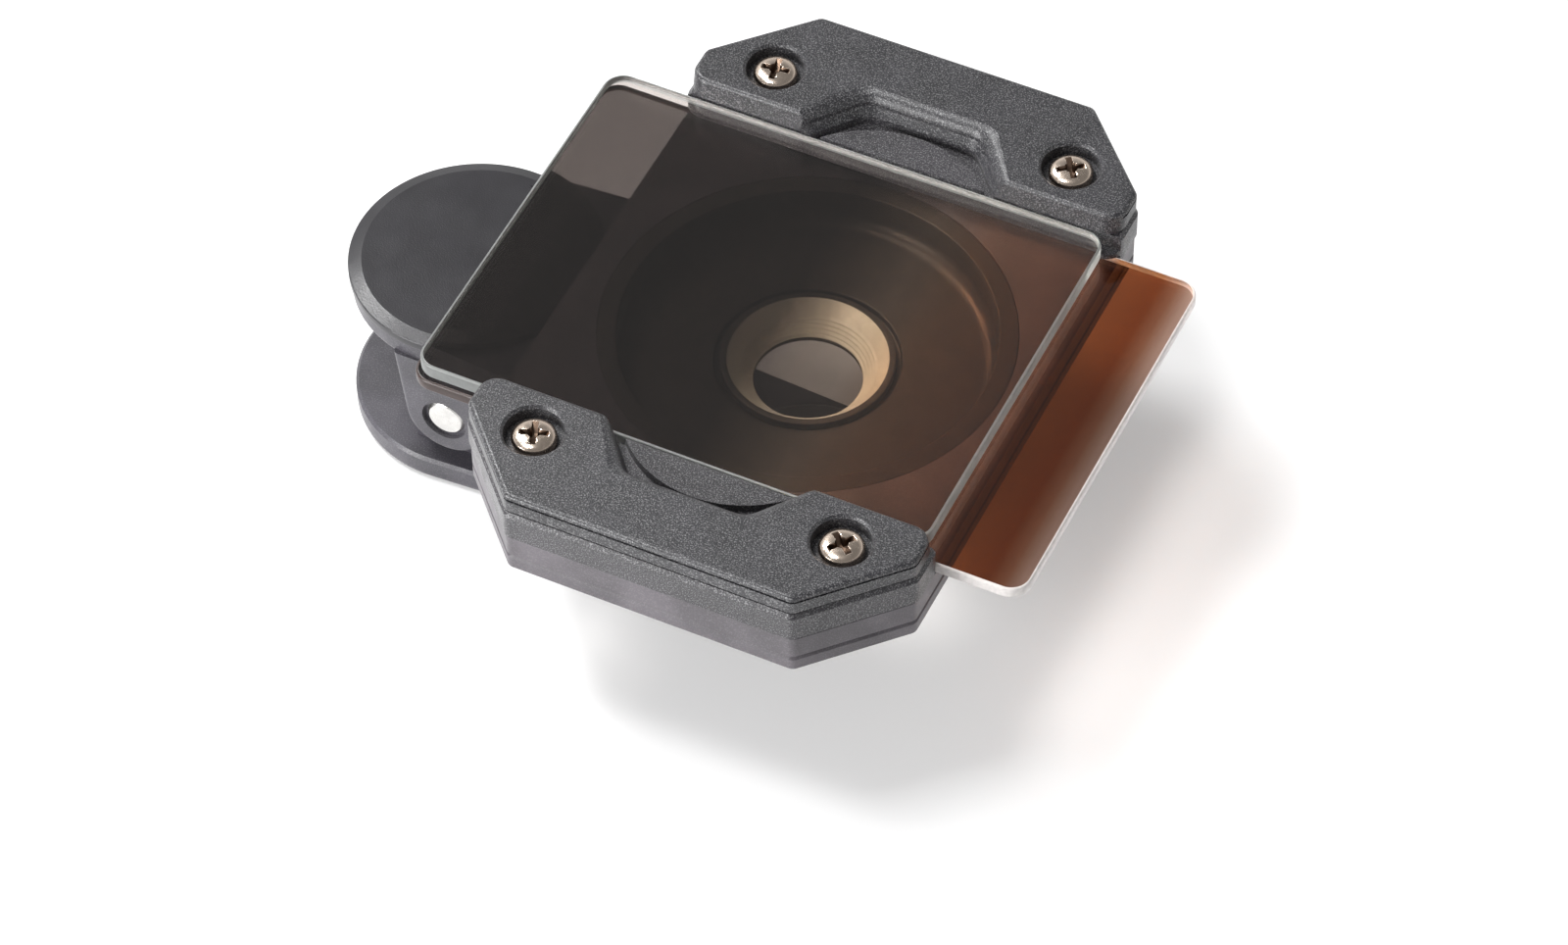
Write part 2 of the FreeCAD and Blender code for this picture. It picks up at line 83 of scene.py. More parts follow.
def own_coordinates(tree):
    """The piece's own coordinates, so that a pattern stays on it as it moves."""
    found = tree.nodes.get("Own coordinates")
    if found is None:
        found = tree.nodes.new("ShaderNodeTexCoord")
        found.name = "Own coordinates"
    return found.outputs["Object"]


def grain(tree, size, detail=2.0, roughness=0.5):
    """A noise whose spots are about size across."""
    noise = tree.nodes.new("ShaderNodeTexNoise")
    noise.inputs["Scale"].default_value = 1 / (size * MM)
    noise.inputs["Detail"].default_value = detail
    noise.inputs["Roughness"].default_value = roughness
    tree.links.new(own_coordinates(tree), noise.inputs["Vector"])
    return noise.outputs["Fac"]


def ramp(tree, source, *stops):
    """Turns a value into the colours given at its stops."""
    band = tree.nodes.new("ShaderNodeValToRGB")
    elements = band.color_ramp.elements
    while len(elements) < len(stops):
        elements.new(0.5)
    for element, (position, colour) in zip(elements, stops):
        element.position = position
        element.color = (*colour, 1)
    tree.links.new(source, band.inputs["Fac"])
    return band.outputs["Color"]


def along(tree, axis, start, end):
    """0 to 1 along an axis between two places in millimetres."""
    split = tree.nodes.new("ShaderNodeSeparateXYZ")
    tree.links.new(own_coordinates(tree), split.inputs["Vector"])
    span = tree.nodes.new("ShaderNodeMapRange")
    span.inputs["From Min"].default_value = start * MM
    span.inputs["From Max"].default_value = end * MM
    tree.links.new(split.outputs[axis], span.inputs["Value"])
    return span.outputs["Result"]


def relief(tree, shader, *layers):
    """Raises the surface by each (height source, depth) in turn."""
    normal = None
    for source, depth in layers:
        bump = tree.nodes.new("ShaderNodeBump")
        bump.inputs["Distance"].default_value = depth * MM
        tree.links.new(source, bump.inputs["Height"])
        if normal is not None:
            tree.links.new(normal, bump.inputs["Normal"])
        normal = bump.outputs["Normal"]
    tree.links.new(normal, shader.inputs["Normal"])


def mixed(tree, how, first, second):
    """Blends two colours in full."""
    blend = tree.nodes.new("ShaderNodeMix")
    blend.data_type = "RGBA"
    blend.blend_type = how
    blend.inputs["Factor"].default_value = 1.0
    tree.links.new(first, blend.inputs["A"])
    tree.links.new(second, blend.inputs["B"])
    return blend.outputs["Result"]


def moulded_plastic(name, colour, painted_glint, roughness, grain_size=0.2, grain_depth=0.012):
    """Dark plastic with a moulded grain, a few painted glints as bright spots in its colour, and a slightly
    uneven tone.
    """
    material, tree, shader = new_material(name)
    lighter = [c * 1.25 for c in colour]
    darker = [c * 0.8 for c in colour]
    tone = ramp(tree, grain(tree, 5.0), (0.35, darker), (0.65, lighter))
    # Painted glints: bright spots added to the colour stand in for light glinting off the grain.
    spots = ramp(tree, grain(tree, 0.13, 1.0), (0.50, (0, 0, 0)), (0.72, (painted_glint, painted_glint, painted_glint)))
    tree.links.new(mixed(tree, "ADD", tone, spots), shader.inputs["Base Color"])
    rough = ramp(tree, grain(tree, 1.5), (0.3, [roughness - 0.05] * 3), (0.7, [roughness + 0.06] * 3))
    tree.links.new(rough, shader.inputs["Roughness"])
    relief(tree, shader, (grain(tree, grain_size, 3.0, 0.6), grain_depth))
    return material


def dress(material, *nodes):
    """Gives CAD pieces their finish."""
    for node in nodes:
        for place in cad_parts[node].material_slots:
            place.material = material


clip_plastic = moulded_plastic("clip graphite plastic", (0.043, 0.040, 0.049), 0.05, 0.38, 0.15, 0.010)
dress(clip_plastic, "lower_lever")


# Jaw pad: a round rubber pad let into the lever's jaw, which grips the screen side of the phone.
# It is moulded with a rolled edge and two fine rings, and is glued into its recess.
def soft_rubber(name, colour):
    """Matt black rubber with a dusty, faintly pitted skin."""
    material, tree, shader = new_material(name)
    dusty = [c * 1.7 for c in colour]
    tone = ramp(tree, grain(tree, 2.5, 4.0), (0.4, colour), (0.75, dusty))
    tree.links.new(tone, shader.inputs["Base Color"])
    shader.inputs["Roughness"].default_value = 0.78
    shader.inputs["Sheen Weight"].default_value = 0.08
    relief(tree, shader, (grain(tree, 0.3, 3.0), 0.012))
    return material


axis_radius = 1e-6


def softened(profile, radius, steps=4):
    """Rounds each corner of a closed (radius, height) profile that lies off the axis."""
    points = []
    count = len(profile)
    for i, corner in enumerate(profile):
        here = Vector(corner)
        if here.x < axis_radius:
            points.append(here)
            continue
        before = Vector(profile[i - 1]) - here
        after = Vector(profile[(i + 1) % count]) - here
        half = before.angle(after) / 2
        bend = min(radius, 0.45 * min(before.length, after.length) * math.tan(half))
        reach = bend / math.tan(half)
        middle = here + (before.normalized() + after.normalized()).normalized() * (bend / math.sin(half))
        start = here + before.normalized() * reach - middle
        sweep = start.angle_signed(here + after.normalized() * reach - middle)
        for k in range(steps + 1):
            points.append(middle + Matrix.Rotation(-sweep * k / steps, 2) @ start)
    return points


crease_angle = math.radians(35)
merge_distance = 1e-7


def finish_mesh(name, shape, body, slot, *materials):
    """Makes a piece from a bmesh, with its finish and body, which is None for a piece left without a body;
    slot is not used.
    """
    bmesh.ops.remove_doubles(shape, verts=shape.verts, dist=merge_distance)
    bmesh.ops.recalc_face_normals(shape, faces=shape.faces)
    mesh = bpy.data.meshes.new(name)
    shape.to_mesh(mesh)
    shape.free()
    for material in materials:
        mesh.materials.append(material)
    mesh.shade_smooth()
    mesh.set_sharp_from_angle(angle=crease_angle)
    piece = bpy.data.objects.new(name, mesh)
    bpy.context.scene.collection.objects.link(piece)
    if body is not None:
        flats = piece.modifiers.new("flat faces stay flat", "WEIGHTED_NORMAL")
        flats.keep_sharp = True
        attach(piece, body)
    return piece


def turn_profile(shape, profile, centre_x, centre_y, steps):
    """Adds the surface that a closed (radius, height) profile makes round a vertical axis."""
    rings = []
    for r, z in profile:
        ring = []
        for k in range(steps):
            angle = math.tau * k / steps
            place = (centre_x + r * math.cos(angle), centre_y + r * math.sin(angle), z)
            ring.append(shape.verts.new(Vector(place) * MM))
        rings.append(ring)
    for i, ring in enumerate(rings):
        following = rings[(i + 1) % len(rings)]
        if profile[i][0] < axis_radius and profile[(i + 1) % len(rings)][0] < axis_radius:
            continue
        for k in range(steps):
            shape.faces.new((ring[k], ring[k - 1], following[k - 1], following[k]))


def turned(name, profile, body, slot, *materials, centre=(0, 0), steps=128):
    """A turned piece, from a closed (radius, height) profile."""
    shape = bmesh.new()
    turn_profile(shape, profile, *centre, steps)
    return finish_mesh(name, shape, body, slot, *materials)


rubber = soft_rubber("pad rubber", (0.018, 0.018, 0.019))
pad_low, pad_high = (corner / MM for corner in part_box("jaw_pad"))
pad_radius = pad_high.x
pad_ring_depth = 0.25
pad_ring_half_width = 0.35
pad_edge_rounding = 0.4
pad_profile = [(0, pad_low.z), (pad_radius, pad_low.z), (pad_radius, pad_high.z)]
for ring_radius in (0.75 * pad_radius, 0.45 * pad_radius):
    pad_profile += [(ring_radius + pad_ring_half_width, pad_high.z),
                    (ring_radius, pad_high.z - pad_ring_depth),
                    (ring_radius - pad_ring_half_width, pad_high.z)]
pad_profile.append((0, pad_high.z))
jaw_pad = turned("jaw_pad_rubber", softened(pad_profile, pad_edge_rounding), "lever", "pad_rubber", rubber)
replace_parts(jaw_pad, "jaw_pad")


# Upper arm: the plate from the lens to the thumb end, with the two ears that hang beside the lever.
# It is moulded from the same nylon as the lever.
dress(clip_plastic, "upper_arm")


# Thumb disc: the round cap on the arm's thumb end, pressed in by its spigot.
# It is a separate moulding with a finer, satin top and a broad bevel that catches the light.
def satin_disc(name, colour):
    """Satin black plastic with faint rubbing marks from handling."""
    material, tree, shader = new_material(name)
    darker = [c * 0.85 for c in colour]
    lighter = [c * 1.2 for c in colour]
    tone = ramp(tree, grain(tree, 3.0, 4.0), (0.35, darker), (0.7, lighter))
    tree.links.new(tone, shader.inputs["Base Color"])
    rubbed = ramp(tree, grain(tree, 4.0, 6.0, 0.65), (0.3, [0.27] * 3), (0.7, [0.33] * 3))
    tree.links.new(rubbed, shader.inputs["Roughness"])
    relief(tree, shader, (grain(tree, 0.15, 2.0), 0.014))
    return material


disc_satin = satin_disc("thumb disc satin plastic", (0.017, 0.016, 0.019))
disc_low, disc_high = (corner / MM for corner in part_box("thumb_disc"))
disc_x = (disc_low.x + disc_high.x) / 2
disc_radius = disc_high.x - disc_x
arm_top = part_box("upper_arm")[1].z / MM
disc_spigot_radius = 5.0
disc_reveal = 0.2
disc_bevel_run = 1.25
disc_bevel_drop = 0.4
disc_corner_rounding = 0.12
disc_profile = softened([
    (0, disc_low.z),
    (disc_spigot_radius, disc_low.z),
    (disc_spigot_radius, arm_top),
    (disc_radius - disc_reveal, arm_top),
    (disc_radius - disc_reveal, arm_top + disc_reveal),
    (disc_radius, arm_top + disc_reveal),
    (disc_radius, disc_high.z - disc_bevel_drop),
    (disc_radius - disc_bevel_run, disc_high.z),
    (0, disc_high.z),
], disc_corner_rounding)
thumb_disc = turned("thumb_disc_cap", disc_profile, "clip", "black_disc", disc_satin,
                    centre=(disc_x, 0), steps=160)
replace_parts(thumb_disc, "thumb_disc")


# Rubber ring: the ring that rests on the phone round its lens, let into the arm's underside.
# It is moulded from the same rubber as the jaw pad, with rolled edges.
ring_low, ring_high = (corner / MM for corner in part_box("ring_pad"))
ring_radius = ring_high.x
ring_hole_radius = 6.9
ring_edge_rounding = 0.45
ring_profile = softened([
    (ring_hole_radius, ring_low.z),
    (ring_radius, ring_low.z),
    (ring_radius, ring_high.z),
    (ring_hole_radius, ring_high.z),
], ring_edge_rounding)
ring_pad = turned("rubber_ring", ring_profile, "clip", "pad_rubber", rubber)
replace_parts(ring_pad, "ring_pad")


# Hinge pin: a ground steel pin, pressed through the ears and the lever's lugs.
# Its ends are bevelled and left bright in their recesses.
def bright_steel(name, colour, roughness, streaks=0.2, metallic=1.0):
    """Bright metal with fine scratches."""
    material, tree, shader = new_material(name)
    shader.inputs["Metallic"].default_value = metallic
    tone = ramp(tree, grain(tree, 0.8, 4.0), (0.3, [c * 0.86 for c in colour]), (0.7, colour))
    tree.links.new(tone, shader.inputs["Base Color"])
    scratches = grain(tree, streaks, 5.0, 0.7)
    worn = ramp(tree, scratches, (0.3, [roughness * 0.7] * 3), (0.7, [roughness * 1.4] * 3))
    tree.links.new(worn, shader.inputs["Roughness"])
    relief(tree, shader, (grain(tree, 0.1, 3.0), 0.001))
    return material


pin_steel = bright_steel("pin steel", (0.66, 0.65, 0.63), 0.30)
dress(pin_steel, "hinge_pin")


# Torsion spring: hard-drawn wire coiled round the pin, whose legs press the thumb ends apart.
# One leg lies under the arm and the other on the lever, so the coil winds up as the lever turns.
spring_wire = bright_steel("spring wire", (0.55, 0.54, 0.52), 0.3)
spring_low, spring_high = (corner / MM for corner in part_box("torsion_spring"))
pin_low, pin_high = (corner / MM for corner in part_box("hinge_pin"))
pin_x = (pin_low.x + pin_high.x) / 2
pin_z = (pin_low.z + pin_high.z) / 2
wire_radius = 0.6
wire_sides = 12
coil_radius = spring_high.x - pin_x - wire_radius
coil_end = spring_high.y - wire_radius
coil_turns = 5.5
coil_steps = 28
leg_tip_x = spring_low.x + wire_radius
tip_rounding = [(1.0, 0.05), (0.9, 0.44), (0.6, 0.8), (0.0, 1.0)]


def spring_path():
    """The middle of the wire, from the tip of the upper leg, round the pin, to the tip of the lower leg."""
    path = [Vector((leg_tip_x, -coil_end, spring_high.z - wire_radius))]
    last = round(coil_turns * coil_steps)
    for k in range(last + 1):
        angle = math.tau * k / coil_steps
        path.append(Vector((pin_x + coil_radius * math.sin(angle),
                            coil_end * (2 * k / last - 1),
                            pin_z + coil_radius * math.cos(angle))))
    path.append(Vector((leg_tip_x, coil_end, spring_low.z + wire_radius)))
    return path


def wire_shape(path):
    """A round wire along a path that runs about the pin, with rounded tips."""
    shape = bmesh.new()
    last = len(path) - 1
    rings = []
    for k, centre in enumerate(path):
        heading = (path[min(k + 1, last)] - path[max(k - 1, 0)]).normalized()
        outward = Vector((centre.x - pin_x, 0, centre.z - pin_z))
        sections = [(0.0, 1.0)]
        if k == 0:
            outward.x = 0
            sections = [(-forward, share) for forward, share in tip_rounding]
        if k == last:
            outward.x = 0
            sections = tip_rounding[::-1]
        outward = (outward - heading * outward.dot(heading)).normalized()
        aside = heading.cross(outward)
        for forward, share in sections:
            ring = []
            for side in range(wire_sides):
                angle = math.tau * side / wire_sides
                place = centre + heading * forward * wire_radius
                place += (outward * math.cos(angle) + aside * math.sin(angle)) * wire_radius * share
                ring.append(shape.verts.new(place * MM))
            rings.append(ring)
    for ring, following in zip(rings, rings[1:]):
        for side in range(wire_sides):
            shape.faces.new((ring[side - 1], ring[side], following[side], following[side - 1]))
    shape.faces.new(rings[0])
    shape.faces.new(rings[-1])
    return shape


spring = finish_mesh("torsion_spring_wire", wire_shape(spring_path()), None, "pin_steel", spring_wire)
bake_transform(spring)
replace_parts(spring, "torsion_spring")


# Friction washer: a thin nylon washer that lets the cup turn on the arm without rattling.
washer_nylon = moulded_plastic("washer nylon", (0.03, 0.03, 0.03), 0.0, 0.5)
dress(washer_nylon, "friction_washer")


# Lens insert: the turned tube that holds the cup to the arm and frames the phone's lens.
# It is aluminium, blacked outside, with a bright bore whose lower part steps out in fine ridges.
def turned_alloy(name, colour, roughness, metallic, groove_pitch):
    """Turned metal with the tool's rings on its flat faces."""
    material, tree, shader = new_material(name)
    shader.inputs["Metallic"].default_value = metallic
    tone = ramp(tree, grain(tree, 2.0, 4.0), (0.35, [c * 0.8 for c in colour]), (0.7, colour))
    tree.links.new(tone, shader.inputs["Base Color"])
    shader.inputs["Roughness"].default_value = roughness
    rings = tree.nodes.new("ShaderNodeTexWave")
    rings.wave_type = "RINGS"
    rings.rings_direction = "Z"
    rings.inputs["Scale"].default_value = 0.3 / (groove_pitch * MM)
    rings.inputs["Distortion"].default_value = 0.4
    tree.links.new(own_coordinates(tree), rings.inputs["Vector"])
    relief(tree, shader, (rings.outputs["Fac"], 0.003), (grain(tree, 0.3, 2.0), 0.004))
    return material


insert_black = turned_alloy("insert blacked alloy", (0.085, 0.076, 0.068), 0.32, 0.4, 0.15)
insert_bright = bright_steel("insert bright bore", (0.95, 0.94, 0.80), 0.34, metallic=0.5)
insert_low, insert_high = (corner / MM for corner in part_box("lens_insert"))
insert_flange_radius = insert_high.x
aperture_radius = 5.0
insert_lip = 0.4
insert_barrel_radius = 6.6
insert_neck_radius = 7.2
insert_flange_thickness = 0.8
insert_mouth_radius = 7.35
insert_ridge_foot_radius = 5.0
insert_ridge_top_radius = 6.3
insert_ridges = 5
insert_corner_rounding = 0.05
ridged_height = 1.7
ridge_riser_share = 0.55
bore = []
for ridge in range(insert_ridges):
    share = ridge / insert_ridges
    radius = insert_ridge_foot_radius + share * (insert_ridge_top_radius - insert_ridge_foot_radius)
    height = insert_low.z + insert_lip + share * ridged_height
    bore += [(radius, height), (radius, height + ridge_riser_share * ridged_height / insert_ridges)]
outer_wall = [
    (aperture_radius, insert_low.z),
    (insert_barrel_radius, insert_low.z),
    (insert_barrel_radius, arm_top),
    (insert_neck_radius, arm_top),
    (insert_neck_radius, insert_high.z - insert_flange_thickness),
    (insert_flange_radius, insert_high.z - insert_flange_thickness),
    (insert_flange_radius, insert_high.z),
    (insert_mouth_radius, insert_high.z),
]
insert_profile = outer_wall + [(insert_ridge_top_radius, insert_low.z + insert_lip + ridged_height)]
insert_profile += bore[::-1]
lens_insert = turned("lens_insert_tube", softened(insert_profile, insert_corner_rounding, 2),
                     "clip", "black_alloy", insert_black, insert_bright, steps=192)
for face in lens_insert.data.polygons:
    radius = math.hypot(face.center.x, face.center.y) / MM
    if radius < insert_mouth_radius and face.center.z / MM > insert_low.z + insert_lip:
        face.material_index = 1
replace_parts(lens_insert, "lens_insert")


# Rotating cup: the round cup that carries the plates and turns on the insert.
# It is turned from aluminium and anodised black, with a fine satin floor.
cup_black = turned_alloy("cup anodised alloy", (0.085, 0.076, 0.068), 0.30, 0.45, 0.12)
cup_low, cup_high = (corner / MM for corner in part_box("rotating_cup"))
cup_flange_radius = cup_high.x
cup_flange_thickness = 0.9
cup_outer_radius = 18.0
cup_outer_bevel = 0.4
cup_corner_rounding = 0.14
well_radius = 17.2
well_floor = 5.1
well_corner_steps = 6
well_corner_radius = 1.3
insert_seat_radius = 8.5
insert_seat = 4.45
insert_hole_radius = 7.25
well_corner = []
for k in range(well_corner_steps + 1):
    angle = math.pi / 2 * k / well_corner_steps
    well_corner.append((well_radius - well_corner_radius * (1 - math.cos(angle)),
                        well_floor + well_corner_radius * (1 - math.sin(angle))))
cup_profile = [
    (insert_hole_radius, cup_low.z),
    (cup_outer_radius - cup_outer_bevel, cup_low.z),
    (cup_outer_radius, cup_low.z + cup_outer_bevel),
    (cup_outer_radius, cup_high.z - cup_flange_thickness),
    (cup_flange_radius, cup_high.z - cup_flange_thickness),
    (cup_flange_radius, cup_high.z),
    (well_radius, cup_high.z),
] + well_corner + [
    (insert_seat_radius, well_floor),
    (insert_seat_radius, insert_seat),
    (insert_hole_radius, insert_seat),
]
rotating_cup = turned("rotating_cup_alloy", softened(cup_profile, cup_corner_rounding, 3),
                      "frame", "black_alloy", cup_black, steps=256)
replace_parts(rotating_cup, "rotating_cup")


# Frame plates: the lower and the upper plate round the cup, and the rails' two slotted layers.
# All are moulded in black nylon, with a bevel along every rim that shows as a line between them.
# The frame layers' colour is lighter than the caps', which are the same nylon: the extra lightness is
# painted light from the front on the side bands. Frame and rails also carry painted glints.
frame_plastic_with_painted_light = moulded_plastic("frame layer plastic with painted front light", (0.082, 0.073, 0.083), 0.04, 0.40, 0.18, 0.008)
rail_plastic = moulded_plastic("slot rail plastic", (0.026, 0.024, 0.028), 0.17, 0.34, 0.14, 0.026)
dress(frame_plastic_with_painted_light, "lower_plate", "upper_plate")
dress(rail_plastic, "slot_rail_front", "slot_rail_rear")


# Rail caps: the two mouldings that keep the upper filter in, each with a scoop for a fingertip.
# They are moulded with a deep grain, whose sparkle is partly painted glints in the colour, and the screws
# hold them down.
cap_plastic = moulded_plastic("cap grain plastic with painted glints", (0.0170, 0.0163, 0.0195), 0.17, 0.34, 0.14, 0.026)
dress(cap_plastic, "rail_cap_front", "rail_cap_rear")


# Rail screws: four small screws that draw caps, rails and plates together.
# They are cold-headed, domed, cross-recessed and plated in a warm nickel that has dulled a little.
screw_nickel = bright_steel("screw warm nickel", (0.66, 0.55, 0.46), 0.22, 0.6)
# The recess finish is a dark colour painted as shade in the cross recess.
screw_recess_painted_shade = bright_steel("screw recess painted shade", (0.16, 0.11, 0.08), 0.35, 0.6)
screw_head_radius = 2.05
screw_head_height = 1.2
screw_side_height = 0.55
screw_shank_radius = 1.0
screw_foot_bevel = 0.1
dome_steps = 8
dome_fullness = 0.6
recess_top_half = 1.35
recess_foot_half = 0.8
recess_depth = 1.0
recess_half_width = 0.31
recess_core_radius = 0.6
recess_overshoot = 0.3
screw_turns = {"front_left": 20, "front_right": 52, "rear_left": 8, "rear_right": 35}


def recess_arm(shape, x, y, top, turn):
    """Adds one tapered bar of the cross recess's cutter."""
    corners = []
    for height, half_length, half_width in ((top - recess_depth, recess_foot_half, 0.8 * recess_half_width),
                                            (top + recess_overshoot, 1.15 * recess_top_half,
                                             recess_half_width)):
        for sx, sy in ((-1, -1), (1, -1), (1, 1), (-1, 1)):
            offset = Matrix.Rotation(turn, 2) @ Vector((sx * half_length, sy * half_width))
            corners.append(shape.verts.new(Vector((x + offset.x, y + offset.y, height)) * MM))
    bmesh.ops.convex_hull(shape, input=corners)


def helper_object(name, shape):
    """A passing object for a boolean cut."""
    bmesh.ops.recalc_face_normals(shape, faces=shape.faces)
    mesh = bpy.data.meshes.new(name)
    shape.to_mesh(mesh)
    shape.free()
    made = bpy.data.objects.new(name, mesh)
    bpy.context.scene.collection.objects.link(made)
    return made


def cut_away(piece, cutter):
    """Cuts the cutter from the piece and removes the cutter."""
    cut = piece.modifiers.new("cut", "BOOLEAN")
    cut.operation = "DIFFERENCE"
    cut.solver = "EXACT"
    cut.object = cutter
    bpy.context.view_layer.update()
    result = bpy.data.meshes.new_from_object(piece.evaluated_get(bpy.context.evaluated_depsgraph_get()))
    piece.modifiers.clear()
    piece.data = result
    bpy.data.objects.remove(cutter)


def rail_screw(place, turn):
    """One domed screw with its cross recess."""
    node = f"rail_screw_{place}"
    low, high = (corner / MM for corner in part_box(node))
    x, y = (low.x + high.x) / 2, (low.y + high.y) / 2
    side_top = high.z - screw_head_height + screw_side_height
    profile = [(0, low.z), (screw_shank_radius, low.z), (screw_shank_radius, high.z - screw_head_height),
               (screw_head_radius - screw_foot_bevel, high.z - screw_head_height),
               (screw_head_radius, high.z - screw_head_height + screw_foot_bevel)]
    for k in range(dome_steps + 1):
        angle = math.pi / 2 * k / dome_steps
        profile.append((screw_head_radius * math.cos(angle) ** dome_fullness,
                        side_top + (high.z - side_top) * math.sin(angle)))
    profile[-1] = (0, high.z)
    head = turned(f"{node}_head", profile, "frame", "screw_metal", screw_nickel, screw_recess_painted_shade,
                  centre=(x, y), steps=64)
    for quarter in range(2):
        cutter = bmesh.new()
        recess_arm(cutter, x, y, high.z, math.radians(turn) + quarter * math.pi / 2)
        cut_away(head, helper_object("recess bar", cutter))
    core = bmesh.new()
    turn_profile(core, [(0, high.z - 1.1 * recess_depth), (0.5 * recess_core_radius, high.z - recess_depth),
                        (1.2 * recess_core_radius, high.z + recess_overshoot),
                        (0, high.z + recess_overshoot)], x, y, 24)
    bmesh.ops.remove_doubles(core, verts=core.verts, dist=merge_distance)
    cut_away(head, helper_object("recess core", core))
    head.data.shade_smooth()
    head.data.set_sharp_from_angle(angle=math.radians(30))
    # Faces inside the cross recess take the dark second finish, painted shade.
    for face in head.data.polygons:
        reach = math.hypot(face.center.x / MM - x, face.center.y / MM - y) / screw_head_radius
        dome = side_top + (high.z - side_top) * math.sin(math.acos(min(1, reach) ** (1 / dome_fullness)))
        if reach < 0.8 and side_top - 1 < face.center.z / MM < dome - 0.04:
            face.material_index = 1
    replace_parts(head, node)


for screw_place, screw_turn in screw_turns.items():
    rail_screw(screw_place, screw_turn)


# Filters: two optical glass plates, cut 40 mm wide, with ground and bevelled edges.
# The lower one is coated, from a dense neutral half, by a clear brown, to orange near its far edge.
# The upper one holds grey polarizing film. Both slide in from the rails' ends and are held by friction.
def ground_edge(name, near_hinge, far_end, clear_share):
    """Frosted glass edge, as the grinding wheel leaves it, in the colour that the glass lends it."""
    material, tree, shader = new_material(name)
    lent = ramp(tree, along(tree, "X", -30, 30), (0.4, near_hinge), (0.6, far_end))
    mottle = ramp(tree, grain(tree, 0.5, 4.0), (0.3, [0.8] * 3), (0.7, [1.0] * 3))
    tree.links.new(mixed(tree, "MULTIPLY", lent, mottle), shader.inputs["Base Color"])
    shader.inputs["Roughness"].default_value = 0.35
    shader.inputs["Transmission Weight"].default_value = clear_share
    shader.inputs["IOR"].default_value = 1.5
    relief(tree, shader, (grain(tree, 0.12, 3.0), 0.01))
    return material


def glass_plate(name, node, body, slot, face_finish, edge_finish, corner_radius=2.0, bevel=0.25):
    """A flat plate with round corners and rolled, ground edges, in its CAD piece's place."""
    low, high = (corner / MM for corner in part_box(node))
    corner_steps = 10
    bevel_steps = 3
    levels = []
    for k in range(bevel_steps + 1):
        angle = math.pi / 2 * k / bevel_steps
        levels.append((bevel * (1 - math.sin(angle)), low.z + bevel * (1 - math.cos(angle))))
    levels += [(inset, low.z + high.z - z) for inset, z in levels[::-1]]
    shape = bmesh.new()
    rings = []
    for inset, z in levels:
        ring = []
        for sx, sy, start in ((1, 1, 0), (-1, 1, 90), (-1, -1, 180), (1, -1, 270)):
            centre_x = (high.x if sx > 0 else low.x) - sx * corner_radius
            centre_y = (high.y if sy > 0 else low.y) - sy * corner_radius
            for k in range(corner_steps + 1):
                angle = math.radians(start + 90 * k / corner_steps)
                reach = corner_radius - inset
                place = (centre_x + reach * math.cos(angle), centre_y + reach * math.sin(angle), z)
                ring.append(shape.verts.new(Vector(place) * MM))
        rings.append(ring)
    shape.faces.new(rings[0][::-1])
    shape.faces.new(rings[-1])
    for lower, upper in zip(rings, rings[1:]):
        for k, vertex in enumerate(lower):
            side = shape.faces.new((lower[k - 1], vertex, upper[k], upper[k - 1]))
            side.material_index = 1
    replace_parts(finish_mesh(name, shape, body, slot, face_finish, edge_finish), node)


def clear_glass(tree, shader, tint):
    """Polished glass of a tint, which lets the lamps' light through to the pieces under it."""
    shader.inputs["Roughness"].default_value = 0.0
    shader.inputs["IOR"].default_value = 1.5
    shader.inputs["Transmission Weight"].default_value = 1.0
    tree.links.new(tint, shader.inputs["Base Color"])
    path = tree.nodes.new("ShaderNodeLightPath")
    through = tree.nodes.new("ShaderNodeBsdfTransparent")
    through.inputs["Color"].default_value = (0.93, 0.92, 0.91, 1)
    either = tree.nodes.new("ShaderNodeMixShader")
    tree.links.new(path.outputs["Is Shadow Ray"], either.inputs["Fac"])
    tree.links.new(shader.outputs["BSDF"], either.inputs[1])
    tree.links.new(through.outputs["BSDF"], either.inputs[2])
    tree.links.new(either.outputs["Shader"], tree.nodes["Material Output"].inputs["Surface"])


def graduated_glass(name):
    """Glass that goes from neutral grey, by a clear brown, to deep orange-brown near its far edge."""
    material, tree, shader = new_material(name)
    tint = ramp(tree, along(tree, "X", -30, 30),
                (0.0, (0.15, 0.135, 0.13)), (0.45, (0.18, 0.16, 0.155)), (0.59, (0.92, 0.80, 0.68)),
                (0.67, (0.88, 0.62, 0.45)), (0.84, (0.62, 0.36, 0.24)), (0.865, (0.23, 0.060, 0.015)),
                (0.94, (0.19, 0.038, 0.006)), (0.965, (0.26, 0.10, 0.05)), (1.0, (0.50, 0.33, 0.26)))
    clear_glass(tree, shader, tint)
    return material


def polarizing_glass(name, colour):
    """Grey-brown glass, even all over."""
    material, tree, shader = new_material(name)
    tint = ramp(tree, grain(tree, 12.0), (0.3, [c * 0.97 for c in colour]), (0.7, colour))
    clear_glass(tree, shader, tint)
    return material


glass_plate("graduated_plate", "graduated_filter", "graduated", "graduated_glass",
            graduated_glass("graduated coated glass"),
            ground_edge("graduated ground edge", (0.035, 0.014, 0.010), (0.92, 0.88, 0.86), 0.35))
glass_plate("polarizer_plate", "polarizer", "polarizer", "polarizer_glass",
            polarizing_glass("polarizer film glass", (0.57, 0.52, 0.49)),
            ground_edge("polarizer ground edge", (0.42, 0.44, 0.43), (0.50, 0.53, 0.50), 0.7))


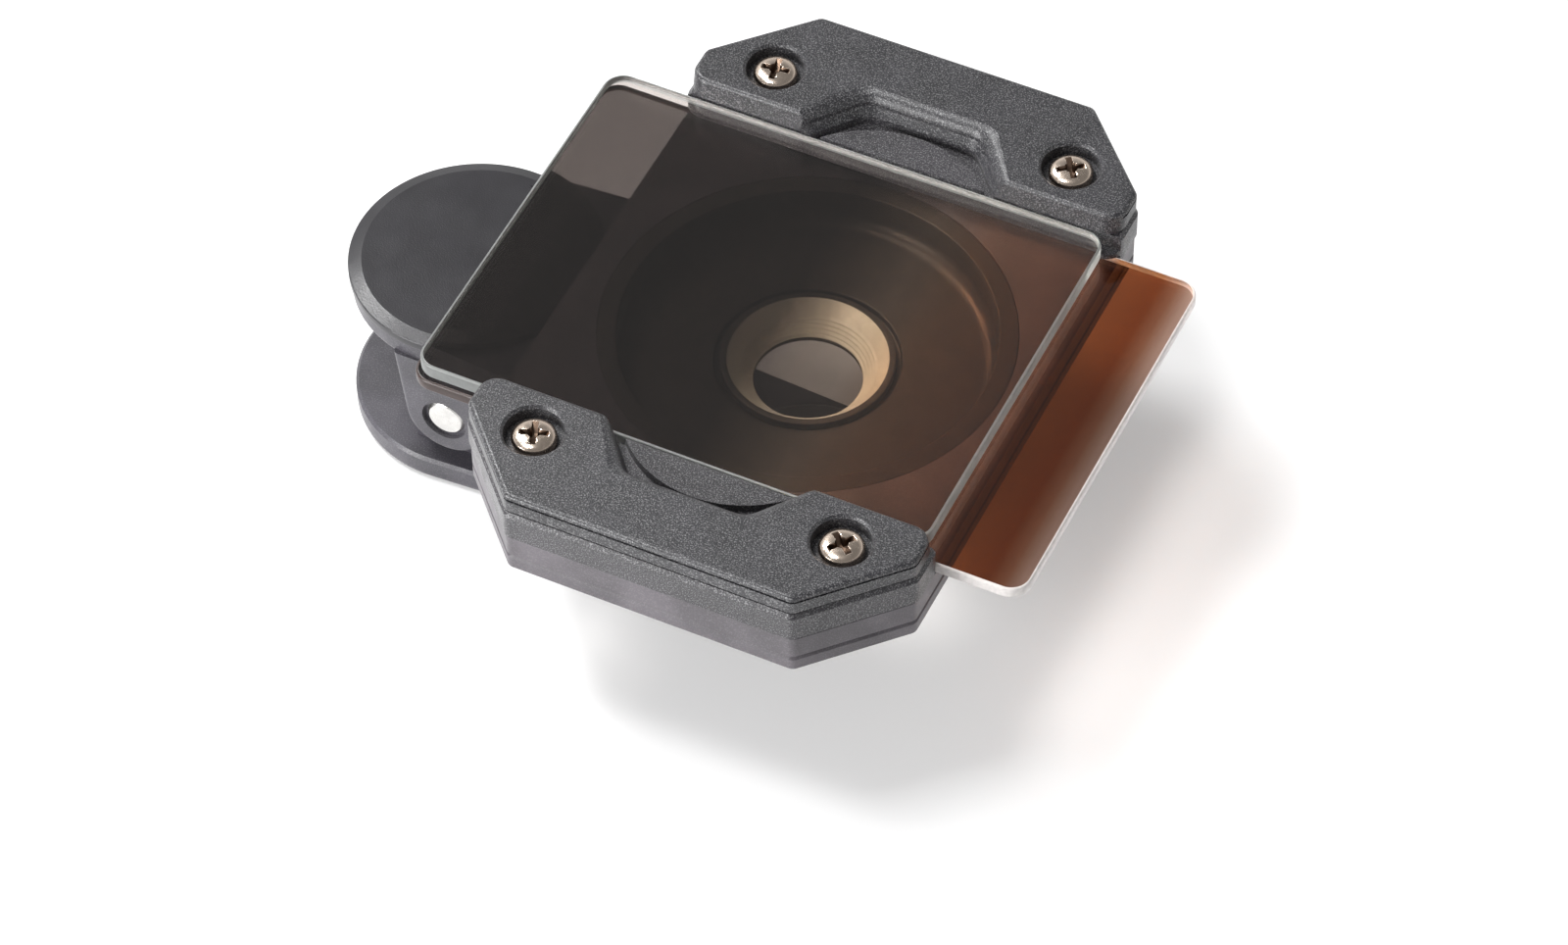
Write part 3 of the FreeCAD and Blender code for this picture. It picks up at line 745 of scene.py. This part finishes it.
# Stage: a white table top under the holder and a white room all round it.
# Only the view, mirror and glass rays see them brightened, so the holder keeps its own light.
# The room is white near the table and dimmer overhead, as a studio with a dark ceiling is.
def seen_ray(tree):
    """1 for rays from the camera, off gloss or through glass, and 0 for light on the object."""
    path = tree.nodes.new("ShaderNodeLightPath")
    total = path.outputs["Is Camera Ray"]
    for kind in ("Is Glossy Ray", "Is Transmission Ray"):
        either = tree.nodes.new("ShaderNodeMath")
        either.operation = "MAXIMUM"
        tree.links.new(total, either.inputs[0])
        tree.links.new(path.outputs[kind], either.inputs[1])
        total = either.outputs["Value"]
    return total


floor_half = 2.0
floor_mesh = bpy.data.meshes.new("table top")
floor_mesh.from_pydata([(-floor_half, -floor_half, 0), (floor_half, -floor_half, 0),
                        (floor_half, floor_half, 0), (-floor_half, floor_half, 0)], [], [(0, 1, 2, 3)])
floor = bpy.data.objects.new("table_top", floor_mesh)
floor.location.z = cad_low.z
bpy.context.scene.collection.objects.link(floor)
table_paint, tree, shader = new_material("white table paint")
shader.inputs["Base Color"].default_value = (0.86, 0.86, 0.86, 1)
shader.inputs["Roughness"].default_value = 0.7
shader.inputs["Specular IOR Level"].default_value = 0.2
shader.inputs["Emission Color"].default_value = (1, 1, 1, 1)
glow = tree.nodes.new("ShaderNodeMath")
glow.operation = "MULTIPLY"
glow.inputs[1].default_value = 0.14
tree.links.new(seen_ray(tree), glow.inputs[0])
tree.links.new(glow.outputs["Value"], shader.inputs["Emission Strength"])
floor_mesh.materials.append(table_paint)

world = bpy.data.worlds.new("white room")
bpy.context.scene.world = world
world.use_nodes = True
room = world.node_tree
background = room.nodes["Background"]
background.inputs["Color"].default_value = (1, 1, 1, 1)
room_light = 0.35
ceiling_seen = 0.27
direction = room.nodes.new("ShaderNodeTexCoord")
split = room.nodes.new("ShaderNodeSeparateXYZ")
room.links.new(direction.outputs["Generated"], split.inputs["Vector"])
backdrop = room.nodes.new("ShaderNodeMapRange")
backdrop.inputs["From Min"].default_value = 0.35
backdrop.inputs["From Max"].default_value = 0.65
backdrop.inputs["To Min"].default_value = 1.0
backdrop.inputs["To Max"].default_value = ceiling_seen
room.links.new(split.outputs["Z"], backdrop.inputs["Value"])
room_level = room.nodes.new("ShaderNodeMix")
room_level.inputs["A"].default_value = room_light
room.links.new(seen_ray(room), room_level.inputs["Factor"])
room.links.new(backdrop.outputs["Result"], room_level.inputs["B"])
room.links.new(room_level.outputs["Result"], background.inputs["Strength"])


def soft_light(name, place, aim, size, watts):
    """A square soft box at place, facing aim."""
    lamp = bpy.data.lights.new(name, "AREA")
    lamp.shape = "SQUARE"
    lamp.size = size
    lamp.energy = watts
    made = bpy.data.objects.new(name, lamp)
    made.location = place
    made.rotation_euler = (Vector(aim) - Vector(place)).to_track_quat("-Z", "Y").to_euler()
    bpy.context.scene.collection.objects.link(made)


soft_light("overhead soft box", (-0.18, -0.12, 0.62), (0, 0, 0), 0.14, 1.8)
soft_light("left soft box", (-0.36, 0.155, 0.48), (0, 0, 0), 0.18, 2.6)
soft_light("front soft box", (-0.28, -0.42, 0.16), (0, 0, 0), 0.22, 3.2)


# Camera: above the front right of the holder, at the photograph's place and lens.
camera_place = Vector((156.55, -327.08, 413.11))
camera_right = Vector((0.902947, 0.429690, -0.007298))
camera_up = Vector((-0.321788, 0.687263, 0.651247))
camera_lens = 138.7
camera = bpy.data.objects.new("camera", bpy.data.cameras.new("camera"))
bpy.context.scene.collection.objects.link(camera)
camera_back = camera_right.cross(camera_up)
axes = Matrix((camera_right, camera_up, camera_back)).transposed()
camera.matrix_world = Matrix.Translation(camera_place * MM) @ axes.to_4x4()
camera.data.sensor_width = 36.0
camera.data.lens = camera_lens
camera.data.clip_start = 0.01
bpy.context.scene.camera = camera
bpy.context.scene.view_settings.view_transform = "Standard"

bpy.context.view_layer.update()
